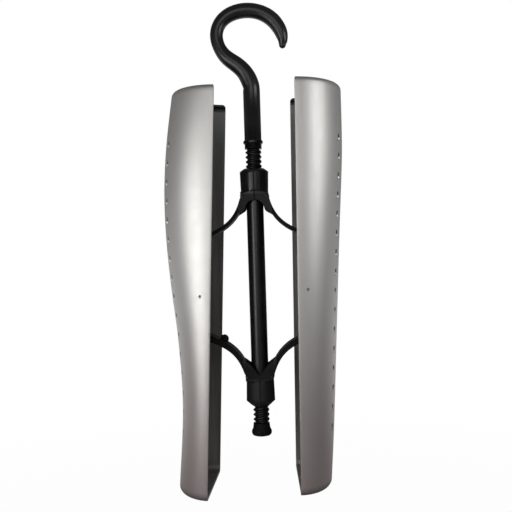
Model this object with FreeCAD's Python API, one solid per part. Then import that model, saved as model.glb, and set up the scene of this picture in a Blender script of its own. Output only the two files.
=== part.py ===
import FreeCAD, Part
import math
import os

# Boot tree with two half-shells, spread by a screw rod with a left-hand and a right-hand thread.
# Millimetres. +Z runs up along the rod, +X points to the shin shell, the viewer stands at -Y.
# The origin is the point under the hook's crown that hangs on a wardrobe rail.

V = FreeCAD.Vector
X_AXIS = V(1, 0, 0)
Y_AXIS = V(0, 1, 0)
Z_AXIS = V(0, 0, 1)
ORIGIN = V(0, 0, 0)

# Fits, as radial or side clearances
RUNNING_CLEARANCE = 0.05
PRESS_CLEARANCE = 0.02
FREE_CLEARANCE = 0.3
EYE_SIDE_CLEARANCE = 0.3
OPEN_EYE_PLAY = 1.5

# Rod and its two screw zones
ROD_D = 14.4
SCREW_D = 13.7
SPIGOT_D = 8.0
HOOK_SPIGOT_LENGTH = 22.0
CAP_SPIGOT_LENGTH = 6.5
ROD_TOP_Z = -112.0
SCREW_END_Z = -343.6

# Hook: stem, bead ring above its lower end and the stations of the bend (x, z, diameter), up to the tip
BEAD_LIFT = 4.2
BEAD_D = 16.6
BEAD_HEIGHT = 3.0
STEM_TOP_Z = -62.0
HOOK_STATIONS = [
    (0.0, -62.0, 14.4),
    (-0.9, -55.6, 14.3),
    (-4.6, -47.6, 14.0),
    (-12.2, -39.4, 13.6),
    (-21.0, -32.2, 12.3),
    (-26.6, -23.2, 10.9),
    (-28.4, -13.9, 11.0),
    (-25.8, -4.8, 11.4),
    (-18.4, 2.4, 12.1),
    (-7.8, 6.0, 12.6),
    (0.6, 6.2, 12.6),
    (8.6, 4.4, 12.6),
    (15.3, 1.0, 12.7),
    (20.8, -3.8, 12.5),
    (24.4, -8.9, 11.9),
    (26.6, -13.5, 11.0),
    (27.5, -17.8, 9.6),
    (27.7, -21.4, 7.8),
    (27.5, -24.4, 5.8),
]
TIP_ANGLES = (30, 55, 75)

# End cap under the lower screw zone
CAP_TOP_D = 14.2
CAP_D = 17.0
CAP_HEIGHT = 10.6
CAP_LIP_HEIGHT = 3.4
CAP_EDGE_R = 1.4

# Collars, measured outwards along the rod from the axis of their arm pins
COLLAR_MID_Z = -227.95
COLLAR_SPAN = 151.5
COLLAR_D = 24.2
COLLAR_LUG_END_D = 23.2
COLLAR_BODY_START = 3.3
COLLAR_BODY_LENGTH = 17.5
COLLAR_ROOF = 0.8
UPPER_CONE_HEIGHT = 2.5
UPPER_CONE_INSET = 3.4
LOWER_CONE_HEIGHT = 4.0
LOWER_CONE_INSET = 4.4
BUSH_D = 18.0
BUSH_LENGTH = 12.0
OPEN_TRAVEL = 4.0

# Lugs on the collars that hold the arm pins
ARM_ROOT_X = 10.1
ROOT_PIN_D = 2.0
ROOT_PIN_INSET = 1.0
LUG_REACH = 1.6
LUG_WIDTH = 22.0
LUG_DROP = 2.0
LUG_CORNER_R = 3.0

# Aprons in front of and behind the arm roots: half outline from the notch to the lugs (x, drop)
APRON_OUTLINE = [(6.6, 9.2), (11.2, 14.2), (15.0, 15.6), (14.3, 11.0), (12.8, 6.4), (11.7, 2.0)]
UPPER_NOTCH_DROP = 3.4
LOWER_NOTCH_DROP = 0.8

# Arms: curved straps from the collar pins to the shell pins
SHELL_PIN_X = 46.5
ARM_DROP = 35.0
STRAP_WIDTH = 18.0
STRAP_NECK = 10.0
UPPER_STRAP = 3.4
LOWER_STRAP = 5.4
STRAP_ROOT = 3.4
STRAP_ROOT_ANGLE = 77.0
STRAP_END_ANGLE = 20.0
STRAP_ROOT_HANDLE = 21.0
STRAP_END_HANDLE = 22.0
ROOT_EYE_D = 4.4
SHELL_PIN_D = 3.0
EYE_WALL = 2.0
NECK_RELIEF = 0.5
KNOB_D = 7.4
KNOB_REACH = 19.2
KNOB_LIFT = 1.5

# Brackets inside the shells
CHEEK = 4.0
BRACKET_NOSE = 2.0
BRACKET_WEB = 5.0

# Shells: depth of the outer curve below the top edge (share of the height, depth)
SHELL_HEIGHT = 331.7
SHELL_CHORD = 85.0
SHELL_WALL = 2.2
SHELL_BOTTOM_R = 6.0
SHELL_TOP_R = 4.0
SHELL_LIP = 5.0
RIM_CORNER_R = 2.5
VENT_D = 3.0
VENT_COUNT = 16
VENT_TOP_MARGIN = 44.5
VENT_BOTTOM_MARGIN = 49.9
VENT_OFFSET = 19.0
TOE_IN = 1.9
CALF_DEPTHS = [
    (0, 40.5), (0.135, 44.8), (0.254, 45.9), (0.374, 43.5), (0.493, 38.6), (0.628, 31.7), (0.792, 26.9)]
CALF_END_DEPTH = 28.4
CALF_TOP_X = 26.9
CALF_TOP_Z = -65.1
CALF_LEAN = 2.6
SHIN_DEPTHS = [(0, 40.8), (0.09, 41.2), (0.18, 41.0), (0.374, 37.8), (0.643, 33.8), (0.867, 30.4)]
SHIN_END_DEPTH = 27.7
SHIN_TOP_X = 34.5
SHIN_TOP_Z = -61.4
SHIN_LEAN = -0.85

# Places worked out from the sizes above
UPPER_PIN_Z = COLLAR_MID_Z + COLLAR_SPAN / 2
LOWER_PIN_Z = COLLAR_MID_Z - COLLAR_SPAN / 2
BUSH_OUTER_END = COLLAR_BODY_START + COLLAR_BODY_LENGTH - COLLAR_ROOF
BUSH_INNER_END = BUSH_OUTER_END - BUSH_LENGTH
ROD_SHOULDER = BUSH_INNER_END - OPEN_TRAVEL - FREE_CLEARANCE
LUG_X = ARM_ROOT_X + LUG_REACH


def cylinder_z(diameter, z_low, z_high):
    """Upright cylinder on the rod's axis."""
    return Part.makeCylinder(diameter / 2, z_high - z_low, V(0, 0, z_low), Z_AXIS)


def cylinder_y(diameter, width, x, z):
    """Cylinder along Y, centred on the XZ plane."""
    return Part.makeCylinder(diameter / 2, width, V(x, -width / 2, z), Y_AXIS)


def block(x_low, x_high, width, z_low, z_high):
    """Box centred on the XZ plane."""
    return Part.makeBox(x_high - x_low, width, z_high - z_low, V(x_low, -width / 2, z_low))


def turned(points):
    """Solid of revolution about the rod's axis from a closed outline of (radius, z) points."""
    outline = Part.makePolygon([V(r, 0, z) for r, z in points + points[:1]])
    return Part.Face(outline).revolve(ORIGIN, Z_AXIS, 360)


def hook():
    """Tapering bend on a straight stem, with the bead ring and the socket for the rod."""
    line = Part.BSplineCurve()
    centres = [V(x, 0, z) for x, z, diameter in HOOK_STATIONS]
    line.interpolate(Points=centres, InitialTangent=Z_AXIS, FinalTangent=centres[-1] - centres[-2])
    rings = []
    for centre, station in zip(centres, HOOK_STATIONS):
        along = line.tangent(line.parameter(centre))[0]
        rings.append(Part.Wire(Part.makeCircle(station[2] / 2, centre, along)))
    tip_r = HOOK_STATIONS[-1][2] / 2
    for angle in TIP_ANGLES:
        ahead = along * (tip_r * math.sin(math.radians(angle)))
        tip_ring = Part.makeCircle(tip_r * math.cos(math.radians(angle)), centres[-1] + ahead, along)
        rings.append(Part.Wire(tip_ring))
    bend = Part.makeLoft(rings, True, False)
    stem = cylinder_z(ROD_D, ROD_TOP_Z, STEM_TOP_Z)
    bead_low = ROD_TOP_Z + BEAD_LIFT
    bead = cylinder_z(BEAD_D, bead_low, bead_low + BEAD_HEIGHT)
    bead = bead.makeFillet(BEAD_HEIGHT / 3, [e for e in bead.Edges if e.Curve.TypeId == "Part::GeomCircle"])
    socket = cylinder_z(SPIGOT_D + 2 * PRESS_CLEARANCE, ROD_TOP_Z, ROD_TOP_Z + HOOK_SPIGOT_LENGTH)
    return bend.fuse([stem, bead]).cut(socket)


def screw_rod():
    """Plain middle with a screw zone at each end; the shoulders stop the bushes."""
    upper_shoulder = UPPER_PIN_Z + ROD_SHOULDER
    lower_shoulder = LOWER_PIN_Z - ROD_SHOULDER
    return turned([
        (0, ROD_TOP_Z + HOOK_SPIGOT_LENGTH),
        (SPIGOT_D / 2, ROD_TOP_Z + HOOK_SPIGOT_LENGTH),
        (SPIGOT_D / 2, ROD_TOP_Z),
        (SCREW_D / 2, ROD_TOP_Z),
        (SCREW_D / 2, upper_shoulder),
        (ROD_D / 2, upper_shoulder),
        (ROD_D / 2, lower_shoulder),
        (SCREW_D / 2, lower_shoulder),
        (SCREW_D / 2, SCREW_END_Z),
        (SPIGOT_D / 2, SCREW_END_Z),
        (SPIGOT_D / 2, SCREW_END_Z - CAP_SPIGOT_LENGTH),
        (0, SCREW_END_Z - CAP_SPIGOT_LENGTH),
    ])


def end_cap():
    """Flared stop under the lower screw zone."""
    lip_top = SCREW_END_Z - CAP_HEIGHT + CAP_LIP_HEIGHT
    cap = turned([
        (0, SCREW_END_Z),
        (CAP_TOP_D / 2, SCREW_END_Z),
        (CAP_D / 2, lip_top),
        (CAP_D / 2, SCREW_END_Z - CAP_HEIGHT),
        (0, SCREW_END_Z - CAP_HEIGHT),
    ])
    rim = [e for e in cap.Edges if e.BoundBox.ZMax < SCREW_END_Z - CAP_HEIGHT + 0.01]
    cap = cap.makeFillet(CAP_EDGE_R, [e for e in rim if e.BoundBox.XLength > CAP_TOP_D])
    socket = cylinder_z(SPIGOT_D + 2 * PRESS_CLEARANCE, SCREW_END_Z - CAP_SPIGOT_LENGTH, SCREW_END_Z)
    return cap.cut(socket)


def bush():
    """Threaded bush, in the collar's own frame: pin axis at the origin, outwards along +Z."""
    body = cylinder_z(BUSH_D, BUSH_INNER_END, BUSH_OUTER_END)
    return body.cut(cylinder_z(SCREW_D + 2 * RUNNING_CLEARANCE, BUSH_INNER_END, BUSH_OUTER_END))


def aprons(notch_drop):
    """Plates beside the arm roots in the collar's frame, with a notch where the rod comes out."""
    half = [(x, -drop) for x, drop in APRON_OUTLINE] + [(LUG_X, COLLAR_BODY_START)]
    points = [(0, -notch_drop)] + half + [(-x, z) for x, z in reversed(half)]
    outline = Part.makePolygon([V(x, -LUG_WIDTH / 2, z) for x, z in points + points[:1]])
    plates = Part.Face(outline).extrude(Y_AXIS * LUG_WIDTH)
    between = STRAP_WIDTH + 2 * EYE_SIDE_CLEARANCE
    return plates.cut(block(-SHELL_PIN_X, SHELL_PIN_X, between, -ARM_DROP, ARM_DROP))


def collar(cone_height, cone_inset, notch_drop):
    """Collar in its own frame: a coned sleeve round the bush, with lugs and aprons for the two arms."""
    body_end = COLLAR_BODY_START + COLLAR_BODY_LENGTH
    sleeve = turned([
        (0, COLLAR_BODY_START),
        (COLLAR_LUG_END_D / 2, COLLAR_BODY_START),
        (COLLAR_D / 2, body_end),
        (COLLAR_D / 2 - cone_inset, body_end + cone_height),
        (0, body_end + cone_height),
    ])
    lugs = block(-LUG_X, LUG_X, LUG_WIDTH, -LUG_DROP, COLLAR_BODY_START)
    upright = [e for e in lugs.Edges if e.BoundBox.ZLength > LUG_DROP]
    lugs = lugs.makeFillet(LUG_CORNER_R, upright)
    notch_x, notch_end = APRON_OUTLINE[0]
    corners = [V(0, 0, -notch_drop), V(notch_x, 0, -notch_end), V(-notch_x, 0, -notch_end), V(0, 0, -notch_drop)]
    notch = Part.Face(Part.makePolygon(corners)).extrude(Y_AXIS * LUG_WIDTH)
    notch.translate(Y_AXIS * (-LUG_WIDTH / 2))
    body = sleeve.fuse([lugs, aprons(notch_drop)]).cut(notch)
    bush_hole = cylinder_z(BUSH_D + 2 * RUNNING_CLEARANCE, -LUG_DROP, BUSH_OUTER_END + RUNNING_CLEARANCE)
    screw_hole = cylinder_z(SCREW_D + 2 * FREE_CLEARANCE, BUSH_OUTER_END, body_end + cone_height)
    slot_width = STRAP_NECK + 2 * EYE_SIDE_CLEARANCE
    slot = block(-LUG_X, LUG_X, slot_width, -LUG_DROP, COLLAR_BODY_START)
    pin_hole_d = ROOT_PIN_D + 2 * PRESS_CLEARANCE
    pin_holes = [cylinder_y(pin_hole_d, LUG_WIDTH, side * ARM_ROOT_X, 0) for side in (-1, 1)]
    return body.cut([bush_hole, screw_hole, slot] + pin_holes).removeSplitter()


def root_pin(side):
    """Arm pin in a collar's lugs, in the collar's frame."""
    return cylinder_y(ROOT_PIN_D, LUG_WIDTH - 2 * ROOT_PIN_INSET, side * ARM_ROOT_X, 0)


def strap_edge(root_offset, offset):
    """Bezier edge of the strap, offset square to the strap's centre line, from collar to shell."""
    root = math.radians(STRAP_ROOT_ANGLE)
    end = math.radians(STRAP_END_ANGLE)
    root_along = V(math.cos(root), 0, -math.sin(root))
    end_along = V(math.cos(end), 0, -math.sin(end))
    root_side = V(math.sin(root), 0, math.cos(root))
    end_side = V(math.sin(end), 0, math.cos(end)) * offset
    start = V(ARM_ROOT_X, 0, 0)
    finish = V(SHELL_PIN_X, 0, -ARM_DROP)
    curve = Part.BezierCurve()
    curve.setPoles([
        start + root_side * root_offset,
        start + root_along * STRAP_ROOT_HANDLE + root_side * offset,
        finish - end_along * STRAP_END_HANDLE + end_side,
        finish + end_side,
    ])
    return curve


def arm(thickness, eye_play, knob):
    """Arm in the upper collar's frame, on the shin side: a strap with an eye at each end."""
    outer = strap_edge(STRAP_ROOT / 2, thickness / 2)
    inner = strap_edge(-STRAP_ROOT / 2, -thickness / 2)
    outline = Part.Wire([
        outer.toShape(),
        Part.makeLine(outer.EndPoint, inner.EndPoint),
        inner.toShape(),
        Part.makeLine(inner.StartPoint, outer.StartPoint),
    ])
    strap = Part.Face(outline).extrude(Y_AXIS * STRAP_WIDTH)
    strap.translate(Y_AXIS * (-STRAP_WIDTH / 2))
    shell_hole_d = SHELL_PIN_D + 2 * (RUNNING_CLEARANCE + eye_play)
    shell_eye_d = shell_hole_d + 2 * EYE_WALL
    root_hole_d = ROOT_PIN_D + 2 * RUNNING_CLEARANCE
    pivots = [
        (ARM_ROOT_X, 0, ROOT_EYE_D, root_hole_d, math.hypot(LUG_DROP, LUG_REACH)),
        (SHELL_PIN_X, -ARM_DROP, shell_eye_d, shell_hole_d, shell_pin_nose() + eye_play),
    ]
    for x, z, eye_d, hole_d, relief in pivots:
        beside = cylinder_y(2 * (relief + NECK_RELIEF), STRAP_WIDTH, x, z)
        strap = strap.cut(beside.cut(block(x - ARM_DROP, x + ARM_DROP, STRAP_NECK, z - ARM_DROP, z + ARM_DROP)))
        strap = strap.fuse(cylinder_y(eye_d, STRAP_NECK, x, z))
        strap = strap.cut(cylinder_y(hole_d, STRAP_NECK, x, z))
    if knob:
        strap = strap.fuse(arm_knob(inner))
    return strap.removeSplitter()


def arm_knob(strap_edge_curve):
    """Round knob moulded on the strap's bulging side, where it has reached out far enough."""
    plane = Part.Plane(V(ARM_ROOT_X + KNOB_REACH, 0, 0), X_AXIS)
    foot = strap_edge_curve.intersect(plane)[0][0]
    return Part.makeSphere(KNOB_D / 2, V(foot.X, 0, foot.Z - KNOB_LIFT))


def shell_pin_nose():
    """Radius of the bracket's nose round the shell pin."""
    return SHELL_PIN_D / 2 + BRACKET_NOSE


def half_section(depth, half_chord, drop, lead):
    """Half-ellipse section at a level; lead carries its straight sides past the rim plane."""
    half_circle = Part.Arc(Part.Circle(ORIGIN, Z_AXIS, 1), -math.pi / 2, math.pi / 2).toShape()
    stretch = FreeCAD.Matrix()
    stretch.scale(V(depth, half_chord, 1))
    stretch.move(V(0, 0, -drop))
    curve = half_circle.transformGeometry(stretch)
    near = V(0, -half_chord, -drop)
    far = V(0, half_chord, -drop)
    if lead == 0:
        return Part.Wire([curve, Part.makeLine(far, near)])
    back = V(-lead, 0, 0)
    sides = [Part.makeLine(far, far + back), Part.makeLine(far + back, near + back)]
    return Part.Wire([curve] + sides + [Part.makeLine(near + back, near)])


def shell_form(depths, end_depth, wall, lead, above, height):
    """Loft through the half sections, set in by the wall, from above the top edge down to height."""
    below = [(share * SHELL_HEIGHT, depth) for share, depth in depths[1:]]
    levels = [(-above, depths[0][1])] + below + [(height, end_depth)]
    sections = [half_section(depth - wall, SHELL_CHORD / 2 - wall, drop, lead) for drop, depth in levels]
    return Part.makeLoft(sections, True, False)


def place_shell(shape, side, top_x, top_z, lean):
    """Turn a shell's own frame (outwards +X, top edge at Z 0) into its place beside the rod."""
    placed = shape.copy()
    placed.rotate(ORIGIN, Y_AXIS, -lean)
    placed.rotate(ORIGIN, Z_AXIS, TOE_IN)
    if side < 0:
        placed = placed.mirror(ORIGIN, X_AXIS)
    placed.translate(V(side * top_x, 0, top_z))
    return placed


def depth_at(depths, end_depth, share):
    """Depth of the outer curve at a share of the height, straight between the stations."""
    stations = depths + [(1, end_depth)]
    for (start, first), (end, second) in zip(stations, stations[1:]):
        if share <= end:
            return first + (second - first) * (share - start) / (end - start)
    return end_depth


def vent_drills(depths, end_depth):
    """Drills for the two rows of vents, each square to the shell's curve, in the shell's frame."""
    pitch = (SHELL_HEIGHT - VENT_TOP_MARGIN - VENT_BOTTOM_MARGIN) / (VENT_COUNT - 1)
    half = SHELL_CHORD / 2
    length = 6 * SHELL_WALL
    drills = []
    for row in (-1, 1):
        turn = math.asin(row * VENT_OFFSET / half)
        for i in range(VENT_COUNT):
            drop = VENT_TOP_MARGIN + i * pitch
            depth = depth_at(depths, end_depth, drop / SHELL_HEIGHT)
            point = V(depth * math.cos(turn), half * math.sin(turn), -drop)
            outward = V(half * math.cos(turn), depth * math.sin(turn), 0).normalize()
            drills.append(Part.makeCylinder(VENT_D / 2, length, point - outward * (length / 2), outward))
    return drills


def shell_and_hollow(depths, end_depth, side, top_x, top_z, lean):
    """Half-shell with a closed bottom and a lip round its open top, and the hollow inside it."""
    outer = shell_form(depths, end_depth, 0, 0, 0, SHELL_HEIGHT)
    bottom = [e for e in outer.Edges if e.BoundBox.ZMax < 0.01 - SHELL_HEIGHT and e.BoundBox.XLength > 1]
    outer = outer.makeFillet(SHELL_BOTTOM_R, bottom)
    top = [e for e in outer.Edges if e.BoundBox.ZMin > -0.01 and e.BoundBox.XLength > 1]
    outer = outer.makeFillet(SHELL_TOP_R, top)
    hollow = shell_form(depths, end_depth, SHELL_WALL, SHELL_WALL, -SHELL_WALL, SHELL_HEIGHT - SHELL_WALL)
    mouth = shell_form(depths, end_depth, SHELL_LIP, SHELL_WALL, SHELL_WALL, SHELL_HEIGHT - SHELL_LIP)
    corner = block(-RIM_CORNER_R, RIM_CORNER_R, SHELL_CHORD, -RIM_CORNER_R, RIM_CORNER_R)
    corner = corner.cut(cylinder_y(2 * RIM_CORNER_R, SHELL_CHORD, RIM_CORNER_R, -RIM_CORNER_R))
    shell = outer.cut(hollow).cut(mouth).cut(corner)
    shell = shell.cut(vent_drills(depths, end_depth)).removeSplitter()
    return (place_shell(shell, side, top_x, top_z, lean), place_shell(hollow, side, top_x, top_z, lean))


def bracket(hollow, side, pin_z, eye_d):
    """Forked bracket on a shell's inner wall, with cheeks beside the arm's eye."""
    fork = STRAP_NECK + 2 * EYE_SIDE_CLEARANCE
    width = fork + 2 * CHEEK
    nose = shell_pin_nose()
    pin_x = side * SHELL_PIN_X
    reach = SHELL_CHORD
    body = block(min(pin_x, pin_x + side * reach), max(pin_x, pin_x + side * reach), width,
                 pin_z - nose, pin_z + nose)
    body = body.fuse(cylinder_y(2 * nose, width, pin_x, pin_z)).common(hollow)
    inner_hollow = hollow.copy()
    inner_hollow.translate(X_AXIS * (-side * BRACKET_WEB))
    gap = block(pin_x - reach, pin_x + reach, fork, pin_z - eye_d, pin_z + eye_d).common(inner_hollow)
    pin_hole = cylinder_y(SHELL_PIN_D + 2 * PRESS_CLEARANCE, width, pin_x, pin_z)
    return body.cut([gap, pin_hole]).removeSplitter()


def shell_pin(side, pin_z):
    """Pin through a bracket's cheeks and the arm's eye."""
    width = STRAP_NECK + 2 * EYE_SIDE_CLEARANCE + 2 * CHEEK
    return cylinder_y(SHELL_PIN_D, width, side * SHELL_PIN_X, pin_z)


def at_upper(shape):
    """Place a shape made in a collar's frame at the upper collar."""
    return shape.translated(V(0, 0, UPPER_PIN_Z))


def at_lower(shape):
    """Mirror a shape made in a collar's frame to the lower collar."""
    return shape.mirror(ORIGIN, Z_AXIS).translated(V(0, 0, LOWER_PIN_Z))


def mirrored_x(shape):
    """The calf side's copy of a shape on the shin side."""
    return shape.mirror(ORIGIN, X_AXIS)


def build():
    """All pieces of the boot tree by name."""
    parts = {"hook": hook(), "screw_rod": screw_rod(), "end_cap": end_cap()}
    parts["upper_bush"] = at_upper(bush())
    parts["lower_bush"] = at_lower(bush())
    parts["upper_collar"] = at_upper(collar(UPPER_CONE_HEIGHT, UPPER_CONE_INSET, UPPER_NOTCH_DROP))
    parts["lower_collar"] = at_lower(collar(LOWER_CONE_HEIGHT, LOWER_CONE_INSET, LOWER_NOTCH_DROP))
    for side, name in ((-1, "calf"), (1, "shin")):
        parts["upper_%s_root_pin" % name] = at_upper(root_pin(side))
        parts["lower_%s_root_pin" % name] = at_lower(root_pin(side))
    parts["upper_shin_arm"] = at_upper(arm(UPPER_STRAP, 0, False))
    parts["upper_calf_arm"] = at_upper(mirrored_x(arm(UPPER_STRAP, 0, False)))
    parts["lower_shin_arm"] = at_lower(arm(LOWER_STRAP, OPEN_EYE_PLAY, False))
    parts["lower_calf_arm"] = at_lower(mirrored_x(arm(LOWER_STRAP, OPEN_EYE_PLAY, True)))
    shells = [
        ("calf", -1, CALF_DEPTHS, CALF_END_DEPTH, CALF_TOP_X, CALF_TOP_Z, CALF_LEAN),
        ("shin", 1, SHIN_DEPTHS, SHIN_END_DEPTH, SHIN_TOP_X, SHIN_TOP_Z, SHIN_LEAN),
    ]
    eye_d = SHELL_PIN_D + 2 * (RUNNING_CLEARANCE + OPEN_EYE_PLAY + EYE_WALL)
    levels = [("upper", UPPER_PIN_Z - ARM_DROP), ("lower", LOWER_PIN_Z + ARM_DROP)]
    for name, side, depths, end_depth, top_x, top_z, lean in shells:
        shell, hollow = shell_and_hollow(depths, end_depth, side, top_x, top_z, lean)
        parts["%s_shell" % name] = shell
        for level, pin_z in levels:
            parts["%s_%s_bracket" % (level, name)] = bracket(hollow, side, pin_z, eye_d)
            parts["%s_%s_shell_pin" % (level, name)] = shell_pin(side, pin_z)
    return parts


os.makedirs("parts", exist_ok=True)
for node, shape in build().items():
    solids = shape.Solids
    print(node, len(solids), "solid", round(shape.Volume, 1), "mm3", "valid" if shape.isValid() else "BAD")
    (solids[0] if len(solids) == 1 else shape).exportStep("parts/%s.step" % node)
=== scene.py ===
"""Looks of a hanging boot tree: satin silver half-shells on a black screw rod with a hook."""

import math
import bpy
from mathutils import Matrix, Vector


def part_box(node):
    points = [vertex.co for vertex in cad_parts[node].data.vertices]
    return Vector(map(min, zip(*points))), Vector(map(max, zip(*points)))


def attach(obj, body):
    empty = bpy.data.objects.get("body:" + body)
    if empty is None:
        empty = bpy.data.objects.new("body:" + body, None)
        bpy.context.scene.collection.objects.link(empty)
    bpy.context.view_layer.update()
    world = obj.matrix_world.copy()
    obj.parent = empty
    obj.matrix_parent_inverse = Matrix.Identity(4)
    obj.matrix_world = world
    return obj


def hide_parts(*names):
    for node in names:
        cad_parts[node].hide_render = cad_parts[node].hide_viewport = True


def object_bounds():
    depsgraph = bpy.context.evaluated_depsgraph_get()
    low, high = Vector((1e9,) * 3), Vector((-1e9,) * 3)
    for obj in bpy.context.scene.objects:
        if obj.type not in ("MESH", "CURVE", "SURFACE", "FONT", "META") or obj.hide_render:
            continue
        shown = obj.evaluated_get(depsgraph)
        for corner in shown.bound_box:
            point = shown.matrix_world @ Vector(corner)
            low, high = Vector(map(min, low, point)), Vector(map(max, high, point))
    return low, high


bl_info = {
    "name": "Boot tree looks",
    "version": (1, 0, 0),
    "blender": (4, 5, 0),
    "location": "3D View > Sidebar > Boot tree",
    "description": "Dresses the boot tree's frame: painted shells, screw threads, black parts, stage",
    "category": "Object",
}

import bmesh
import bpy
from bpy.props import FloatProperty, FloatVectorProperty, IntProperty, PointerProperty
from mathutils import Matrix, Vector

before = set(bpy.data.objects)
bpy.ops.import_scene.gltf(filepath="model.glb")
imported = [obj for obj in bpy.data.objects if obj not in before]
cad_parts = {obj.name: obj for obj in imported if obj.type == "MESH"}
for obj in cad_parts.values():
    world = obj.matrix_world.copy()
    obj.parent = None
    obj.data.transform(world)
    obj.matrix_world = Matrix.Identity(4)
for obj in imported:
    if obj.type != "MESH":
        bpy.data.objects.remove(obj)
CAD_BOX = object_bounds()

# Depth of each shell's outer curve along its height (share of the height, depth in metres)
CALF_DEPTHS = ((0.0, 0.0405), (0.135, 0.0448), (0.254, 0.0459), (0.374, 0.0435), (0.493, 0.0386),
               (0.628, 0.0317), (0.792, 0.0269), (1.0, 0.0284))
SHIN_DEPTHS = ((0.0, 0.0408), (0.09, 0.0412), (0.18, 0.0410), (0.374, 0.0378), (0.643, 0.0338),
               (0.867, 0.0304), (1.0, 0.0277))
# Side of the rod, top edge's distance from the rod and height, lean in degrees, and the depths
SHELLS = {
    "calf": (-1, 0.0269, -0.0651, 2.6, CALF_DEPTHS),
    "shin": (1, 0.0345, -0.0614, -0.85, SHIN_DEPTHS),
}
# End cap's outline from its top: share of its height, share of its radius
CAP_OUTLINE = ((0.0, 0.55), (0.0, 0.79), (0.05, 0.81), (0.28, 0.83), (0.42, 0.87), (0.54, 0.95),
               (0.62, 0.99), (0.68, 1.0), (0.80, 0.985), (0.90, 0.93), (0.97, 0.83), (1.0, 0.70), (1.0, 0.3))
# Heights along the rod: its ends, and the two screw zones (top, bottom, hand, a crest)
ROD_ENDS = (-0.0900, -0.3501)
SCREW_ZONES = ((-0.1120, -0.1485, -1, -0.1148), (-0.3074, -0.3436, 1, -0.3327))
# Collars: drop of the aprons' notch from the arm pins, the pins' height, and the side the collar's body is on
COLLARS = {"upper": (0.0034, -0.1522, 1), "lower": (0.0008, -0.3037, -1)}
# Aprons: radius of the upper notch, and half width and drop from the pins of the lower notch and of the ends
UPPER_NOTCH_RADIUS = 0.008
LOWER_NOTCH = (0.0068, 0.0094)
APRON_ENDS = (0.0154, 0.0158)
# Prism that cuts the aprons: its drop from the pins and half its depth
APRON_CUT = (0.03, 0.02)

# Bands along a shell, as drops below its top edge
# Painted shade on the paint: darker and browner low down, from one drop to the next
PAINT_SHADE_LOW = (0.185, 0.325)
# Painted shade on the paint at the rounded top edge
TOP_EDGE_SHADE = (0.0015, 0.0060)
# Painted shade in the lining: darker and browner low down
LINING_SHADE_LOW = (0.055, 0.275)
# Painted shadow under the lip
LIP_SHADOW = (0.0050, 0.0068)
# Bands along a shell, as heights above its bottom
# Painted shade on the paint at the rounded bottom edge
BOTTOM_EDGE_SHADE = (0.0065, 0.001)
# Painted highlight along the inner crease, this high above the bottom
CREASE_HIGHLIGHT = 0.0048
# Half width of the crease's painted highlight and of the collars' seam, where each begins to fade and where
# it ends
CREASE_HIGHLIGHT_FADE = (0.0004, 0.0024)
SEAM_RIDGE = (0.0002, 0.0006)
SEAM_DULL = (0.0004, 0.0008)
# Bands along the collars: middle between them, the aprons' reach from it, and the duller lower collar
COLLARS_MIDDLE_Z = -0.228
APRON_BAND = (0.0765, 0.0785)
LOWER_BAND = (-0.300, -0.290)
# Black plastic: lowest and highest roughness, scale of the grain, gloss
FINISHES = {
    "glossy": (0.24, 0.36, 1300.0, 0.45),
    "seamed": (0.24, 0.36, 1300.0, 0.45),
    "matte": (0.62, 0.78, 900.0, 0.15),
}

# Edges sharper than this stay sharp, in degrees: mouldings, and the thread
SHARP_EDGE = 32.0
SHARP_THREAD = 50.0
# Vertices nearer than this are joined: CAD meshes, and the carved shells
CAD_WELD = 1e-6
CARVED_WELD = 4e-6

# Lamps: place, target, width, height, power in watts and spread in degrees
LAMPS = {
    "key": ((-0.29, -0.29, -0.20), (-0.06, -0.03, -0.215), 0.32, 0.27, 0.248, 80),
    "fill": ((0.34, -0.21, -0.05), (0.06, -0.03, -0.13), 0.24, 0.24, 0.145, 80),
    "front": ((-0.05, -0.95, 0.08), (0.0, 0.0, -0.2), 0.6, 0.5, 1.5, 180),
}
WORLD_LIGHT = 0.17
FLOOR_REACH = 6.0
# What reflections show as white: the floor from one distance behind to another, and the world's directions
WHITE_FLOOR = (0.2, 1.0)
WHITE_WORLD = (0.93, 1.0)
# Radii between which the floor's shadow fades out
SHADOW_FADE = (0.5, 1.1)


# Sizes and colours that a user would change

class ShellSettings(bpy.types.PropertyGroup):
    """Sizes and colours of the two shells"""
    height: FloatProperty(
        name="Height", description="Top edge to closed bottom", default=0.3317, unit="LENGTH")
    chord: FloatProperty(name="Chord", description="Width from rim to rim", default=0.085, unit="LENGTH")
    wall: FloatProperty(name="Wall", description="Wall thickness", default=0.0022, unit="LENGTH")
    bottom_radius: FloatProperty(
        name="Bottom radius", description="Rounding round the closed bottom", default=0.0035, unit="LENGTH")
    top_radius: FloatProperty(
        name="Top radius", description="Rounding of the wall into the lip", default=0.004, unit="LENGTH")
    lip: FloatProperty(
        name="Lip", description="Width of the lip round the open top", default=0.005, unit="LENGTH")
    corner: FloatProperty(
        name="Corner", description="Rounding of the rims' top corners", default=0.0018, unit="LENGTH")
    edge: FloatProperty(name="Edge", description="Rounding of the rims", default=0.0005, unit="LENGTH")
    toe_in: FloatProperty(
        name="Toe-in", description="Turn of each open side towards the viewer",
        default=math.radians(1.9), subtype="ANGLE")
    silver: FloatVectorProperty(
        name="Silver", description="Paint outside", default=(0.52, 0.51, 0.495), subtype="COLOR", size=3)
    lining: FloatVectorProperty(
        name="Lining", description="Bare dark plastic inside", default=(0.165, 0.163, 0.16),
        subtype="COLOR", size=3)


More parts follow.
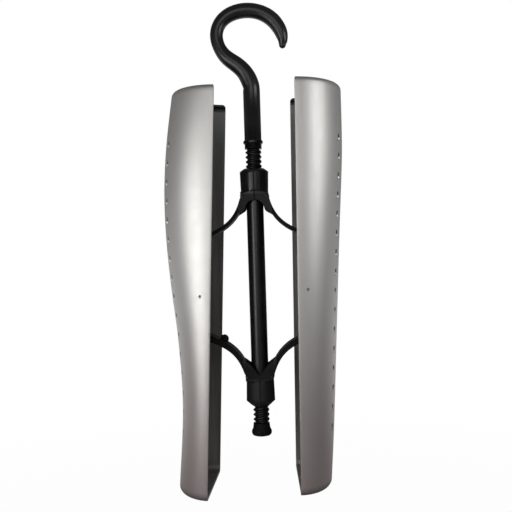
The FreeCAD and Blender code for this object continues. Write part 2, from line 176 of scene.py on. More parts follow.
class VentSettings(bpy.types.PropertyGroup):
    """Sizes of the vents and the gate mark"""
    count: IntProperty(name="Count", description="Vents in each row", default=16)
    pitch: FloatProperty(name="Pitch", description="Distance between vents", default=0.01582, unit="LENGTH")
    first: FloatProperty(
        name="First", description="First vent below the top edge", default=0.0445, unit="LENGTH")
    offset: FloatProperty(
        name="Offset", description="Rows' distance from the middle", default=0.019, unit="LENGTH")
    hole: FloatProperty(name="Hole", description="Hole diameter", default=0.0030, unit="LENGTH")
    # The mouths' dark colour is painted shade
    mouth: FloatProperty(name="Mouth", description="Bare mouth's diameter", default=0.0043, unit="LENGTH")
    scoop: FloatProperty(
        name="Scoop", description="Painted scoop's diameter", default=0.0042, unit="LENGTH")
    scoop_drop: FloatProperty(
        name="Scoop drop", description="Scoop below its vent", default=0.0020, unit="LENGTH")
    dish_depth: FloatProperty(
        name="Dish depth", description="Depth of mouths and scoops", default=0.0006, unit="LENGTH")
    gate_drop: FloatProperty(
        name="Gate mark", description="Moulding mark below the top edge", default=0.1694, unit="LENGTH")
    gate_offset: FloatProperty(
        name="Gate offset", description="Moulding mark's distance from the middle", default=-0.0414,
        unit="LENGTH")
    gate: FloatProperty(
        name="Gate size", description="Moulding mark's diameter", default=0.0026, unit="LENGTH")


class ScrewSettings(bpy.types.PropertyGroup):
    """Sizes of the rod and its thread, and the black plastic"""
    crest: FloatProperty(name="Crest", description="Thread's outer radius", default=0.00685, unit="LENGTH")
    root: FloatProperty(name="Root", description="Thread's inner radius", default=0.0052, unit="LENGTH")
    pitch: FloatProperty(name="Pitch", description="Ridge to ridge", default=0.004, unit="LENGTH")
    starts: IntProperty(name="Starts", description="Ridges side by side", default=2)
    body: FloatProperty(
        name="Body", description="Radius of the plain middle", default=0.0072, unit="LENGTH")
    spigot: FloatProperty(
        name="Spigot", description="Radius of the plugged ends", default=0.004, unit="LENGTH")
    plastic: FloatVectorProperty(
        name="Plastic", description="Moulded black", default=(0.005, 0.005, 0.0053),
        subtype="COLOR", size=3)


class StageSettings(bpy.types.PropertyGroup):
    """Camera and floor"""
    camera: FloatVectorProperty(
        name="Camera", description="Camera place", default=(0.02353, -0.6147, -0.2093),
        size=3, subtype="XYZ", unit="LENGTH")
    yaw: FloatProperty(
        name="Yaw", description="Turn to the left", default=math.radians(2.235), subtype="ANGLE")
    pitch: FloatProperty(
        name="Pitch", description="Tilt upwards", default=math.radians(0.61), subtype="ANGLE")
    roll: FloatProperty(
        name="Roll", description="Roll of the picture", default=math.radians(-1.763), subtype="ANGLE")
    focal: FloatProperty(name="Focal length", description="In picture widths", default=725.5 / 512.0)
    floor_drop: FloatProperty(
        name="Floor", description="Floor below the hanging tree", default=0.12, unit="LENGTH")


# Shader maths

class Sock:
    """A shader socket that takes part in Python expressions."""

    def __init__(self, build, socket):
        self.build = build
        self.socket = socket

    def maths(self, operation, other, swap=False):
        """A Math node on this socket and another value."""
        values = [other, self] if swap else [self, other]
        return self.build.node("ShaderNodeMath", {"operation": operation}, {0: values[0], 1: values[1]})

    def __add__(self, other):
        return self.maths("ADD", other)

    def __radd__(self, other):
        return self.maths("ADD", other, True)

    def __sub__(self, other):
        return self.maths("SUBTRACT", other)

    def __rsub__(self, other):
        return self.maths("SUBTRACT", other, True)

    def __mul__(self, other):
        return self.maths("MULTIPLY", other)

    def __rmul__(self, other):
        return self.maths("MULTIPLY", other, True)


class Build:
    """Adds nodes to the tree of a material or a world and links what they are given."""

    def __init__(self, owner):
        self.owner = owner
        owner.use_nodes = True
        self.tree = owner.node_tree
        self.tree.nodes.clear()

    def node(self, kind, settings=None, inputs=None, output=0):
        """Add a node, set it up, give its sockets their values or links, and return one output."""
        made = self.tree.nodes.new(kind)
        for key, value in (settings or {}).items():
            setattr(made, key, value)
        for key, value in (inputs or {}).items():
            if isinstance(value, Sock):
                self.tree.links.new(value.socket, made.inputs[key])
            else:
                made.inputs[key].default_value = value
        return Sock(self, made.outputs[output]) if made.outputs else None

    def place(self):
        """Object coordinates."""
        return self.node("ShaderNodeTexCoord", output="Object")

    def noise(self, scale, detail=2.0, roughness=0.5, at=None):
        inputs = {"Vector": at or self.place(), "Scale": scale, "Detail": detail, "Roughness": roughness}
        return self.node("ShaderNodeTexNoise", {}, inputs, "Fac")

    def ramp(self, value, low, high, start=0.0, end=1.0):
        """A value that goes from start to end while another goes from low to high."""
        inputs = {"Value": value, "From Min": low, "From Max": high, "To Min": start, "To Max": end}
        return self.node("ShaderNodeMapRange", {"clamp": True}, inputs, "Result")

    def axis(self, vector, letter):
        return self.node("ShaderNodeSeparateXYZ", {}, {0: vector}, letter)

    def mix(self, factor, first, second):
        first, second = [value if isinstance(value, Sock) else (*value, 1.0) for value in (first, second)]
        return self.node("ShaderNodeMix", {"data_type": "RGBA"}, {0: factor, 6: first, 7: second}, 2)

    def bump(self, height, strength, distance):
        inputs = {"Height": height, "Strength": strength, "Distance": distance}
        return self.node("ShaderNodeBump", {}, inputs)

    def surface(self, **inputs):
        """Close the material with one shader of the named inputs."""
        named = {key.replace("_", " "): value for key, value in inputs.items()}
        shader = self.node("ShaderNodeBsdfPrincipled", {}, named)
        self.node("ShaderNodeOutputMaterial", {}, {"Surface": shader})
        return self.owner


def tint(colour, factors):
    """A colour with each channel made lighter or darker."""
    return tuple(channel * factor for channel, factor in zip(colour, factors))


def shade(colour, factor):
    """A colour made lighter or darker."""
    return tint(colour, (factor, factor, factor))


def drop_below_top(b, side, top_x, top_z, lean):
    """Drop below a shell's top edge, along the leaning shell."""
    place = b.place()
    out = b.axis(place, "X") * side - top_x
    below = top_z - b.axis(place, "Z")
    return below * math.cos(math.radians(lean)) + out * math.sin(math.radians(lean))


def silver_paint(name, colour, height, *spot):
    """Satin silver paint: fine flake, cloudiness and orange peel, with painted shade: darker and browner low
    down, and darker at the rounded top and bottom ends.
    """
    b = Build(bpy.data.materials.new(name + "_paint"))
    # Painted shade: a darker, browner copy of the paint for low down
    shaded_paint = tint(colour, (0.80, 0.70, 0.71))
    # Painted shade: a near-black copy of it for the rounded top and bottom ends
    end_shade_colour = shade(shaded_paint, 0.15)
    drop = drop_below_top(b, *spot)
    low = b.ramp(drop, *PAINT_SHADE_LOW)
    # Painted shade at the rounded top and bottom ends
    top_shade = b.ramp(drop, *TOP_EDGE_SHADE, 0.38, 0.0)
    bottom_shade = b.ramp(drop, height - BOTTOM_EDGE_SHADE[0], height - BOTTOM_EDGE_SHADE[1], 0.0, 0.75)
    ends = top_shade.maths("MAXIMUM", bottom_shade)
    flake = b.noise(5200.0, 1.0)
    cloud = b.noise(16.0, 3.0)
    peel = b.noise(750.0, 2.0)
    tone = b.ramp(flake, 0.3, 0.7) * 0.75 + b.ramp(cloud, 0.3, 0.7) * 0.25
    full, low_shaded_paint = [b.mix(tone, shade(paint, 0.90), shade(paint, 1.07)) for paint in (colour, shaded_paint)]
    return b.surface(
        Base_Color=b.mix(ends, b.mix(low, full, low_shaded_paint), end_shade_colour),
        Metallic=0.72,
        Roughness=b.ramp(b.noise(240.0), 0.3, 0.7, 0.44, 0.50),
        Normal=b.bump(peel + flake * 0.35, 0.10, 0.0002),
    )


def moulded_black(name, colour, low, high, grain, gloss, seam):
    """Moulded black plastic with a fine grain; the collars' kind has a seam and duller bands."""
    b = Build(bpy.data.materials.new(name))
    cloud = b.noise(60.0, 4.0)
    fine = b.noise(grain, 3.0)
    height = fine
    rough = b.ramp(cloud * 0.5 + fine * 0.5, 0.3, 0.7, low, high)
    if seam:
        place = b.place()
        along = b.axis(place, "Z")
        off_seam = b.axis(place, "X").maths("ABSOLUTE", 0.0)
        off_middle = (along - COLLARS_MIDDLE_Z).maths("ABSOLUTE", 0.0)
        height = fine + b.ramp(off_seam, *SEAM_RIDGE, 8.0, 0.0)
        rough = rough + b.ramp(off_middle, *APRON_BAND, 0.45, 0.0)
        rough = rough + b.ramp(off_seam, *SEAM_DULL, 0.6, 0.0)
        rough = rough + b.ramp(along, *LOWER_BAND, 0.34, 0.0)
    return b.surface(
        Base_Color=b.mix(b.ramp(cloud, 0.35, 0.7), colour, shade(colour, 1.9)),
        Roughness=rough,
        Specular_IOR_Level=gloss,
        Normal=b.bump(height, 0.18, 0.00015),
    )


def bare_lining(name, colour, height, *spot):
    """Bare plastic inside a shell: streaks along the height, a painted shadow under the lip, a painted
    highlight along the inner crease, and painted shade that makes it darker and browner low down.
    """
    b = Build(bpy.data.materials.new(name + "_lining"))
    stretched = b.node("ShaderNodeMapping", {}, {"Vector": b.place(), "Scale": (1.0, 1.0, 0.02)})
    streak = b.ramp(b.noise(260.0, 3.0, 0.6, stretched), 0.35, 0.7)
    drop = drop_below_top(b, *spot)
    # Painted shade: the lining darker and browner low down
    low = b.ramp(drop, *LINING_SHADE_LOW)
    # Painted shadow under the lip, near black
    lip = b.ramp(drop, *LIP_SHADOW, 1.0, 0.0)
    # Painted highlight along the inner crease near the bottom
    off_crease = (drop + CREASE_HIGHLIGHT - height).maths("ABSOLUTE", 0.0)
    crease_highlight = b.ramp(off_crease, *CREASE_HIGHLIGHT_FADE, 0.6, 0.0)
    tone = b.mix(low, shade(colour, 0.95), tint(colour, (0.85, 0.68, 0.64)))
    streaked = b.mix(streak, shade(colour, 1.3), tone)
    return b.surface(
        Base_Color=b.mix(lip, b.mix(crease_highlight, streaked, shade(colour, 3.0)), shade(colour, 0.04)),
        Roughness=b.ramp(streak, 0.0, 1.0, 0.38, 0.52),
        Specular_IOR_Level=0.4,
        Normal=b.bump(streak * 0.5 + b.noise(900.0, 3.0), 0.12, 0.00015),
    )


def dark_steel():
    """Drawn steel pins with fine rings of turning marks."""
    b = Build(bpy.data.materials.new("dark_steel"))
    lines = b.node("ShaderNodeTexWave", {"wave_type": "BANDS", "bands_direction": "Y"},
                   {"Vector": b.place(), "Scale": 900.0, "Distortion": 1.5, "Detail": 2.0}, "Fac")
    return b.surface(
        Base_Color=b.mix(lines, (0.045, 0.045, 0.047), (0.075, 0.075, 0.078)),
        Metallic=1.0,
        Roughness=b.ramp(lines, 0.0, 1.0, 0.28, 0.42),
    )


# Mesh helpers

def new_object(name, mesh):
    """Object of a mesh, at the origin, in the scene's collection."""
    made = bpy.data.objects.new(name, mesh)
    bpy.context.scene.collection.objects.link(made)
    return made


def plain_mesh(obj, name):
    """The object's evaluated shape as a plain mesh; the object itself goes."""
    graph = bpy.context.evaluated_depsgraph_get()
    mesh = bpy.data.meshes.new_from_object(obj.evaluated_get(graph), depsgraph=graph)
    mesh.name = name
    bpy.data.objects.remove(obj)
    return mesh


def soften(mesh, degrees=SHARP_EDGE):
    """Smooth shading that keeps the edges sharper than an angle."""
    mesh.polygons.foreach_set("use_smooth", [True] * len(mesh.polygons))
    mesh.set_sharp_from_angle(angle=math.radians(degrees))


def settle(obj, body, slot, materials, *nodes):
    """Give a piece its materials, tie it to its body and hide the CAD nodes it stands for; its slot is not
    used.
    """
    if not obj.data.materials:
        for material in materials:
            obj.data.materials.append(material)
    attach(obj, body)
    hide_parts(*nodes)


def weld(mesh, distance):
    """Join the vertices that lie together, which drops the faces between them."""
    work = bmesh.new()
    work.from_mesh(mesh)
    bmesh.ops.remove_doubles(work, verts=work.verts, dist=distance)
    work.to_mesh(mesh)
    work.free()


def cad_copy(node, name):
    """A welded, smooth-shaded copy of a CAD node's mesh."""
    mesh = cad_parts[node].data.copy()
    mesh.materials.clear()
    weld(mesh, CAD_WELD)
    mesh.name = name
    soften(mesh)
    return new_object(name, mesh)


# Shells

def depth_at(depths, share):
    """Depth of a shell's curve at a share of its height, on a smooth curve through the stations."""
    last = len(depths) - 2
    at = max(i for i in range(last + 1) if depths[i][0] <= share or i == 0)
    (s0, d0), (s1, d1) = depths[at], depths[at + 1]

    def slope(i):
        if i == 0 or i == len(depths) - 1:
            j = min(max(i, 1), len(depths) - 1)
            return (depths[j][1] - depths[j - 1][1]) / (depths[j][0] - depths[j - 1][0])
        return (depths[i + 1][1] - depths[i - 1][1]) / (depths[i + 1][0] - depths[i - 1][0])

    span = s1 - s0
    t = (share - s0) / span
    rise = (2 * t ** 3 - 3 * t ** 2 + 1) * d0 + (3 * t ** 2 - 2 * t ** 3) * d1
    return rise + span * ((t ** 3 - 2 * t ** 2 + t) * slope(at) + (t ** 3 - t ** 2) * slope(at + 1))


def shell_matrix(side, top_x, top_z, lean, toe_in):
    """From a shell's own frame (outwards +X, top edge at Z 0) to its place beside the rod."""
    turn = Matrix.Rotation(toe_in, 4, "Z") @ Matrix.Rotation(math.radians(-lean), 4, "Y")
    flip = Matrix.Diagonal((side, 1, 1, 1))
    return Matrix.Translation((side * top_x, 0, top_z)) @ flip @ turn


def shell_rows(sizes):
    """Levels of a shell's skin from the lip to the bottom: drop, inset from the outline, share."""
    wall_rows = 110
    arc_rows = 6
    floor_rows = 10
    round_top = sizes.top_radius
    round_low = sizes.bottom_radius
    low = sizes.height - round_low
    rows = [(0.0, sizes.lip, 1.0)]
    for i in range(arc_rows):
        angle = math.pi / 2 * i / arc_rows
        rows.append((round_top * (1 - math.cos(angle)), round_top * (1 - math.sin(angle)), 1.0))
    for i in range(wall_rows + 1):
        rows.append((round_top + (low - round_top) * i / wall_rows, 0.0, 1.0))
    for i in range(1, arc_rows + 1):
        angle = math.pi / 2 * i / arc_rows
        rows.append((low + round_low * math.sin(angle), round_low * (1 - math.cos(angle)), 1.0))
    for i in range(1, floor_rows):
        rows.append((sizes.height, round_low, 1 - i / floor_rows))
    return rows


def shell_skin(sizes, depths):
    """Outer skin of a shell in its own frame: rows of a half-ellipse, closed at the bottom."""
    columns = 80
    work = bmesh.new()
    grid = []
    for drop, inset, share in shell_rows(sizes):
        depth = (depth_at(depths, drop / sizes.height) - inset) * share
        half = (sizes.chord / 2 - inset) * share
        back = max(0.0, sizes.corner - drop)
        start = sizes.corner - math.sqrt(sizes.corner ** 2 - back ** 2)
        reach = math.acos(start / depth)
        line = []
        for i in range(columns + 1):
            angle = reach * (2 * i / columns - 1)
            line.append(work.verts.new((depth * math.cos(angle), half * math.sin(angle), -drop)))
        grid.append(line)
    middle = work.verts.new((0, 0, -sizes.height))
    for above, below in zip(grid, grid[1:]):
        for i in range(columns):
            work.faces.new((above[i], below[i], below[i + 1], above[i + 1]))
    for i in range(columns):
        work.faces.new((grid[-1][i], middle, grid[-1][i + 1]))
    mesh = bpy.data.meshes.new("shell_skin")
    work.to_mesh(mesh)
    work.free()
    return mesh


def skin_point(sizes, depths, drop, offset):
    """Point on the outer skin at a drop and a distance from the middle, and its outward direction."""
    half = sizes.chord / 2
    angle = math.asin(offset / half)
    depth = depth_at(depths, drop / sizes.height)
    place = Vector((depth * math.cos(angle), half * math.sin(angle), -drop))
    return place, Vector((half * math.cos(angle), depth * math.sin(angle), 0)).normalized()


def vent_points(sizes, vents, depths, lower=0.0):
    """Points of the two rows of vents, or a little below them."""
    drops = [vents.first + lower + i * vents.pitch for i in range(vents.count)]
    return [skin_point(sizes, depths, drop, row * vents.offset) for row in (-1, 1) for drop in drops]


def cutters_tree():
    """Node tree that stands a coned cutter on every point, along the point's direction."""
    tree = bpy.data.node_groups.new("coned_cutters", "GeometryNodeTree")
    tree.interface.new_socket("Geometry", in_out="INPUT", socket_type="NodeSocketGeometry")
    for label in ("Inner radius", "Outer radius", "Depth", "Sink"):
        tree.interface.new_socket(label, in_out="INPUT", socket_type="NodeSocketFloat")
    tree.interface.new_socket("Material", in_out="INPUT", socket_type="NodeSocketMaterial")
    tree.interface.new_socket("Geometry", in_out="OUTPUT", socket_type="NodeSocketGeometry")
    add = tree.nodes.new
    link = tree.links.new
    source = add("NodeGroupInput")
    cone = add("GeometryNodeMeshCone")
    cone.inputs["Vertices"].default_value = 24
    link(source.outputs["Outer radius"], cone.inputs["Radius Top"])
    link(source.outputs["Inner radius"], cone.inputs["Radius Bottom"])
    link(source.outputs["Depth"], cone.inputs["Depth"])
    below = add("ShaderNodeMath")
    below.operation = "MULTIPLY"
    below.inputs[1].default_value = -1.0
    link(source.outputs["Sink"], below.inputs[0])
    shift = add("ShaderNodeCombineXYZ")
    link(below.outputs[0], shift.inputs["Z"])
    sunk = add("GeometryNodeTransform")
    link(cone.outputs["Mesh"], sunk.inputs["Geometry"])
    link(shift.outputs[0], sunk.inputs["Translation"])
    outward = add("GeometryNodeInputNamedAttribute")
    outward.data_type = "FLOAT_VECTOR"
    outward.inputs["Name"].default_value = "outward"
    turn = add("FunctionNodeAlignRotationToVector")
    turn.axis = "Z"
    link(outward.outputs["Attribute"], turn.inputs["Vector"])
    stand = add("GeometryNodeInstanceOnPoints")
    link(source.outputs["Geometry"], stand.inputs["Points"])
    link(sunk.outputs["Geometry"], stand.inputs["Instance"])
    link(turn.outputs["Rotation"], stand.inputs["Rotation"])
    real = add("GeometryNodeRealizeInstances")
    link(stand.outputs["Instances"], real.inputs["Geometry"])
    paint = add("GeometryNodeSetMaterial")
    link(real.outputs["Geometry"], paint.inputs["Geometry"])
    link(source.outputs["Material"], paint.inputs["Material"])
    target = add("NodeGroupOutput")
    link(paint.outputs["Geometry"], target.inputs["Geometry"])
    return tree


def set_inputs(modifier, values):
    """Set a node modifier's named inputs by their sockets' identifiers."""
    for item in modifier.node_group.interface.items_tree:
        if item.item_type == "SOCKET" and item.in_out == "INPUT" and item.name in values:
            modifier[item.identifier] = values[item.name]


def cutters(points, inner, outer, depth, sink, material):
    """Coned cutters on some points of the skin as one plain mesh object."""
    mesh = bpy.data.meshes.new("cutter_points")
    mesh.from_pydata([place for place, outward in points], [], [])
    mesh.attributes.new("outward", "FLOAT_VECTOR", "POINT")
    flat = [value for place, outward in points for value in outward]
    mesh.attributes["outward"].data.foreach_set("vector", flat)
    seeds = new_object("cutter_seeds", mesh)
    modifier = seeds.modifiers.new("cutters", "NODES")
    modifier.node_group = bpy.data.node_groups.get("coned_cutters") or cutters_tree()
    set_inputs(modifier, {"Inner radius": inner, "Outer radius": outer, "Depth": depth, "Sink": sink,
                          "Material": material})
    return new_object("cutters", plain_mesh(seeds, "cutters"))


def vent_cutters(sizes, vents, depths, dark, mouth_shade, painted):
    """Cutters of the vents: a scoop below in the silver paint, and a mouth and a hole through the wall whose
    dark colours are painted shade.
    """
    points = vent_points(sizes, vents, depths)
    hole = vents.hole / 2
    deep = vents.dish_depth
    through = cutters(points, hole, hole, 3 * sizes.wall, 1.8 * sizes.wall, dark)
    mouth = cutters(points, hole, vents.mouth - hole, 2 * deep, deep, mouth_shade)
    below = vent_points(sizes, vents, depths, vents.scoop_drop)
    scoop = cutters(below, 0.15 * vents.scoop, 0.85 * vents.scoop, 4 * deep, 2 * deep, painted)
    return [scoop, mouth, through]


def gate_cutter(sizes, vents, depths, material):
    """Cutter of the small crater that the moulding gate left."""
    points = [skin_point(sizes, depths, vents.gate_drop, vents.gate_offset)]
    size = vents.gate
    return cutters(points, size * 0.15, size * 0.75, size * 0.6, size * 0.35, material)


def carve(shell, tool):
    """Cut a tool out of a shell, with the tool's material on the cut."""
    hole = shell.modifiers.new("carve", "BOOLEAN")
    hole.operation = "DIFFERENCE"
    hole.solver = "EXACT"
    hole.object = tool
    hole.material_mode = "TRANSFER"


class BOOTTREE_OT_shells(bpy.types.Operator):
    """Make the two painted half-shells with their vents"""
    bl_idname = "boot_tree.shells"
    bl_label = "Shells"

    def execute(self, context):
        sizes = context.scene.boot_shells
        vents = context.scene.boot_vents
        # Painted shade in the vents: matte black on the holes' walls and the lining's dark plastic on the
        # mouths
        hole = black(context, "matte")
        for name, (side, top_x, top_z, lean, depths) in SHELLS.items():
            silver = silver_paint(name, tuple(sizes.silver), sizes.height, side, top_x, top_z, lean)
            lining = bare_lining(name, tuple(sizes.lining), sizes.height, side, top_x, top_z, lean)
            shell = new_object("shell_work", shell_skin(sizes, depths))
            shell.data.materials.append(silver)
            shell.data.materials.append(lining)
            thick = shell.modifiers.new("wall", "SOLIDIFY")
            thick.thickness = sizes.wall
            thick.offset = -1.0
            thick.use_even_offset = True
            thick.material_offset = 1
            thick.material_offset_rim = 1
            edge = shell.modifiers.new("edge", "BEVEL")
            edge.width = sizes.edge
            edge.segments = 2
            edge.limit_method = "ANGLE"
            edge.angle_limit = math.radians(50)
            tools = vent_cutters(sizes, vents, depths, hole, lining, silver)
            tools.append(gate_cutter(sizes, vents, depths, lining))
            for tool in tools:
                carve(shell, tool)
            piece = name + "_shell_painted"
            mesh = plain_mesh(shell, piece)
            weld(mesh, CARVED_WELD)
            for tool in tools:
                bpy.data.objects.remove(tool)
            mesh.transform(shell_matrix(side, top_x, top_z, lean, sizes.toe_in))
            if side < 0:
                mesh.flip_normals()
            soften(mesh)
            settle(new_object(piece, mesh), name + "_shell", "silver_shell", [], name + "_shell")
        return {"FINISHED"}


# Rod, hook and the black mouldings

def black(context, kind):
    """The black plastic of the mouldings: glossy, seamed or matte."""
    known = bpy.data.materials.get(kind + "_black")
    if known:
        return known
    plastic = tuple(context.scene.boot_screw.plastic)
    return moulded_black(kind + "_black", plastic, *FINISHES[kind], kind == "seamed")


def thread_radius(screw, zone, z, angle):
    """Radius of the screw at a height and an angle: rounded ridges that run out at the zone's ends."""
    top, bottom, hand, crest_z = zone
    roundness = 0.85
    run_out = 0.3 * screw.pitch
    phase = (z - crest_z) / screw.pitch - hand * screw.starts * angle / (2 * math.pi)
    ridge = (0.5 + 0.5 * math.cos(2 * math.pi * phase)) ** roundness
    end = min(top - z, z - bottom) / run_out
    return screw.root + (screw.crest - screw.root) * ridge * min(max(end, 0.0), 1.0)


def rod_rows(screw):
    """Levels down the rod: height, and a radius or the screw zone that gives it."""
    upper, lower = SCREW_ZONES
    ridge_rows = 14
    plain_rows = 20
    rows = [(ROD_ENDS[0], screw.spigot), (upper[0], screw.spigot)]
    for zone in SCREW_ZONES:
        steps = int(ridge_rows * (zone[0] - zone[1]) / screw.pitch)
        rows += [(zone[0] + (zone[1] - zone[0]) * i / steps, zone) for i in range(steps + 1)]
        if zone is upper:
            between = lower[0] - upper[1]
            rows += [(upper[1] + between * i / plain_rows, screw.body) for i in range(plain_rows + 1)]
    return rows + [(lower[1], screw.spigot), (ROD_ENDS[1], screw.spigot)]


def cap_rows():
    """Levels down the end cap: height and radius."""
    low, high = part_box("end_cap")
    reach = (high[0] - low[0]) / 2
    return [(high[2] + (low[2] - high[2]) * share, reach * wide) for share, wide in CAP_OUTLINE]


def turned(name, rows, screw):
    """Rings of the levels' radii round the rod's axis as one closed mesh."""
    around = 64
    work = bmesh.new()
    rings = []
    for z, radius in rows:
        ring = []
        for i in range(around):
            angle = 2 * math.pi * i / around
            r = thread_radius(screw, radius, z, angle) if isinstance(radius, tuple) else radius
            ring.append(work.verts.new((r * math.cos(angle), r * math.sin(angle), z)))
        rings.append(ring)
    for above, below in zip(rings, rings[1:]):
        for i in range(around):
            j = (i + 1) % around
            work.faces.new((above[i], below[i], below[j], above[j]))
    work.faces.new(rings[0])
    work.faces.new(list(reversed(rings[-1])))
    mesh = bpy.data.meshes.new(name)
    work.to_mesh(mesh)
    work.free()
    soften(mesh, SHARP_THREAD)
    return new_object(name, mesh)


class BOOTTREE_OT_rod(bpy.types.Operator):
    """Make the hook, the threaded rod and the end cap"""
    bl_idname = "boot_tree.rod"
    bl_label = "Hook and rod"

    def execute(self, context):
        screw = context.scene.boot_screw
        made = {
            "hook": cad_copy("hook", "hook_moulded"),
            "screw_rod": turned("screw_rod_threaded", rod_rows(screw), screw),
            "end_cap": turned("end_cap_moulded", cap_rows(), screw),
        }
        for node, piece in made.items():
            finish = "matte" if node == "end_cap" else "glossy"
            settle(piece, "hook_and_rod", "black_rod", [black(context, finish)], node)
        return {"FINISHED"}


def apron_cutter(level):
    """Prism that rounds the notch of a collar's aprons and tapers their ends into the arms."""
    notch, pin_z, side_z = COLLARS[level]
    end_x, end_drop = APRON_ENDS
    cut_drop, cut_depth = APRON_CUT
    if level == "upper":
        steps = 12
        radius = UPPER_NOTCH_RADIUS
        turns = [math.pi / 2 * i / steps for i in range(-steps, steps + 1)]
        outline = [(radius * math.sin(turn), -notch - radius * (1 - math.cos(turn))) for turn in turns]
    else:
        wide, drop = LOWER_NOTCH
        outline = [(-wide, -drop), (0.0, -notch), (wide, -drop)]
    outline += [(end_x, -end_drop), (end_x, -cut_drop), (-end_x, -cut_drop), (-end_x, -end_drop)]
    work = bmesh.new()
    near = [work.verts.new((x, -cut_depth, pin_z + side_z * z)) for x, z in outline]
    far = [work.verts.new((x, cut_depth, pin_z + side_z * z)) for x, z in outline]
    work.faces.new(near)
    work.faces.new(list(reversed(far)))
    for i in range(len(outline)):
        j = (i + 1) % len(outline)
        work.faces.new((near[j], near[i], far[i], far[j]))
    bmesh.ops.recalc_face_normals(work, faces=work.faces)
    mesh = bpy.data.meshes.new("apron_cutter")
    work.to_mesh(mesh)
    work.free()
    return new_object("apron_cutter", mesh)


class BOOTTREE_OT_collars(bpy.types.Operator):
    """Make the collars and their bushes"""
    bl_idname = "boot_tree.collars"
    bl_label = "Collars"

    def execute(self, context):
        seamed = black(context, "seamed")
        for level in COLLARS:
            bush = level + "_bush"
            settle(cad_copy(bush, bush + "_moulded"), bush, "bush", [seamed], bush)
            node = level + "_collar"
            collar = cad_copy(node, "collar_work")
            tool = apron_cutter(level)
            for piece in (collar, tool):
                piece.data.materials.append(seamed)
            carve(collar, tool)
            mesh = plain_mesh(collar, node + "_moulded")
            bpy.data.objects.remove(tool)
            soften(mesh)
            settle(new_object(node + "_moulded", mesh), node, "black_collar", [], node)
        return {"FINISHED"}


class BOOTTREE_OT_arms(bpy.types.Operator):
    """Make the arms, their pins and the brackets in the shells"""
    bl_idname = "boot_tree.arms"
    bl_label = "Arms"

    def execute(self, context):
        steel = dark_steel()
        for level in COLLARS:
            for side in SHELLS:
                stem = "%s_%s_" % (level, side)
                arm = stem + "arm"
                settle(cad_copy(arm, arm + "_moulded"), arm, "black_arm", [black(context, "matte")], arm)
                bracket = stem + "bracket"
                settle(cad_copy(bracket, bracket + "_moulded"), side + "_shell", "black_bracket",
                       [black(context, "matte")], bracket)
                held = {stem + "root_pin": level + "_collar", stem + "shell_pin": side + "_shell"}
                for pin, body in held.items():
                    settle(cad_copy(pin, pin + "_turned"), body, "pin_steel", [steel], pin)
        return {"FINISHED"}


# Stage

def rays_seen(b, behind):
    """How far a ray shows the white background: camera and transmission rays, and glossy rays behind."""
    camera = b.node("ShaderNodeLightPath", output="Is Camera Ray")
    through = b.node("ShaderNodeLightPath", output="Is Transmission Ray")
    glossy = b.node("ShaderNodeLightPath", output="Is Glossy Ray")
    return camera.maths("MAXIMUM", through).maths("MAXIMUM", glossy * behind)


def white_floor():
    """Pale floor that shows as white and keeps the shadow round the middle."""
    b = Build(bpy.data.materials.new("pale_floor"))
    place = b.place()
    away = b.node("ShaderNodeVectorMath", {"operation": "LENGTH"}, {0: place}, "Value")
    behind = b.ramp(b.axis(place, "Y"), *WHITE_FLOOR)
    pale = b.node("ShaderNodeBsdfDiffuse", {}, {"Color": (0.9, 0.9, 0.9, 1.0)})
    glow = b.node("ShaderNodeEmission", {}, {"Color": (1.0, 1.0, 1.0, 1.0), "Strength": 1.0})
    shown = rays_seen(b, behind) * b.ramp(away, *SHADOW_FADE, 0.97, 1.0)
    both = b.node("ShaderNodeMixShader", {}, {0: shown, 1: pale, 2: glow})
    b.node("ShaderNodeOutputMaterial", {}, {"Surface": both})
    return b.owner


def white_world():
    """World that lights softly, and is white to the camera and to reflections of what lies behind."""
    b = Build(bpy.data.worlds.new("studio"))
    direction = b.node("ShaderNodeTexCoord", {}, {}, "Generated")
    behind = b.ramp(b.axis(direction, "Y"), *WHITE_WORLD)
    soft = b.node("ShaderNodeBackground", {}, {"Color": (1, 1, 1, 1), "Strength": WORLD_LIGHT})
    white = b.node("ShaderNodeBackground", {}, {"Color": (1, 1, 1, 1), "Strength": 1.0})
    both = b.node("ShaderNodeMixShader", {}, {0: rays_seen(b, behind), 1: soft, 2: white})
    b.node("ShaderNodeOutputWorld", {}, {"Surface": both})
    bpy.context.scene.world = b.owner


def soft_lamp(name, place, target, wide, tall, power, spread):
    """A soft box turned to a target, with a grid that narrows its spread."""
    data = bpy.data.lights.new(name, "AREA")
    data.shape = "RECTANGLE"
    data.size = wide
    data.size_y = tall
    data.energy = power
    data.spread = math.radians(spread)
    lamp = bpy.data.objects.new(name, data)
    lamp.location = place
    lamp.rotation_euler = (Vector(target) - Vector(place)).to_track_quat("-Z", "Y").to_euler()
    lamp.visible_camera = False
    bpy.context.scene.collection.objects.link(lamp)


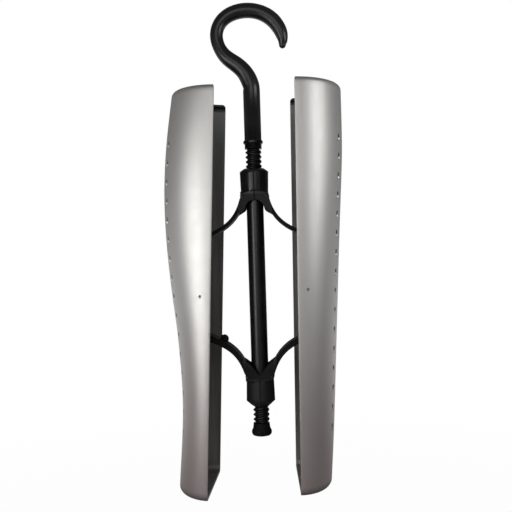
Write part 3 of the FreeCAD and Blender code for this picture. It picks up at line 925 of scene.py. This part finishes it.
class BOOTTREE_OT_stage(bpy.types.Operator):
    """Make the floor, the light and the camera"""
    bl_idname = "boot_tree.stage"
    bl_label = "Stage"

    def execute(self, context):
        stage = context.scene.boot_stage
        reach = FLOOR_REACH
        floor_z = CAD_BOX[0].z - stage.floor_drop
        mesh = bpy.data.meshes.new("floor")
        corners = [(-reach, -reach, floor_z), (reach, -reach, floor_z), (reach, reach, floor_z),
                   (-reach, reach, floor_z)]
        mesh.from_pydata(corners, [], [(0, 1, 2, 3)])
        mesh.materials.append(white_floor())
        new_object("floor", mesh)
        white_world()
        for name, values in LAMPS.items():
            soft_lamp(name, *values)
        data = bpy.data.cameras.new("camera")
        data.sensor_width = 36.0
        data.lens = stage.focal * data.sensor_width
        data.clip_start = 0.01
        camera = bpy.data.objects.new("camera", data)
        turn = Matrix.Rotation(stage.yaw, 4, "Z") @ Matrix.Rotation(math.pi / 2 + stage.pitch, 4, "X")
        turn = turn @ Matrix.Rotation(stage.roll, 4, "Z")
        camera.matrix_world = Matrix.Translation(stage.camera) @ turn
        context.scene.collection.objects.link(camera)
        context.scene.camera = camera
        context.scene.view_settings.view_transform = "Standard"
        return {"FINISHED"}


class BOOTTREE_PT_panel(bpy.types.Panel):
    """Lists the steps that dress the boot tree"""
    bl_label = "Boot tree"
    bl_space_type = "VIEW_3D"
    bl_region_type = "UI"
    bl_category = "Boot tree"

    def draw(self, context):
        for operator in OPERATORS:
            self.layout.operator(operator.bl_idname)
        for key in SETTINGS:
            group = getattr(context.scene, key)
            for name in group.bl_rna.properties.keys():
                if name not in ("rna_type", "name"):
                    self.layout.prop(group, name)


SETTINGS = {
    "boot_shells": ShellSettings,
    "boot_vents": VentSettings,
    "boot_screw": ScrewSettings,
    "boot_stage": StageSettings,
}
OPERATORS = (BOOTTREE_OT_shells, BOOTTREE_OT_rod, BOOTTREE_OT_collars, BOOTTREE_OT_arms, BOOTTREE_OT_stage)


def register():
    """Add the settings, the steps and the panel."""
    for group in SETTINGS.values():
        bpy.utils.register_class(group)
    for key, group in SETTINGS.items():
        setattr(bpy.types.Scene, key, PointerProperty(type=group))
    for kind in (*OPERATORS, BOOTTREE_PT_panel):
        bpy.utils.register_class(kind)


def unregister():
    """Take them away again."""
    for kind in (BOOTTREE_PT_panel, *reversed(OPERATORS)):
        bpy.utils.unregister_class(kind)
    for key in SETTINGS:
        delattr(bpy.types.Scene, key)
    for group in reversed(SETTINGS.values()):
        bpy.utils.unregister_class(group)


def main():
    """Dress the frame piece by piece."""
    register()
    bpy.ops.boot_tree.shells()
    bpy.ops.boot_tree.rod()
    bpy.ops.boot_tree.collars()
    bpy.ops.boot_tree.arms()
    bpy.ops.boot_tree.stage()


if __name__ == "__main__":
    main()
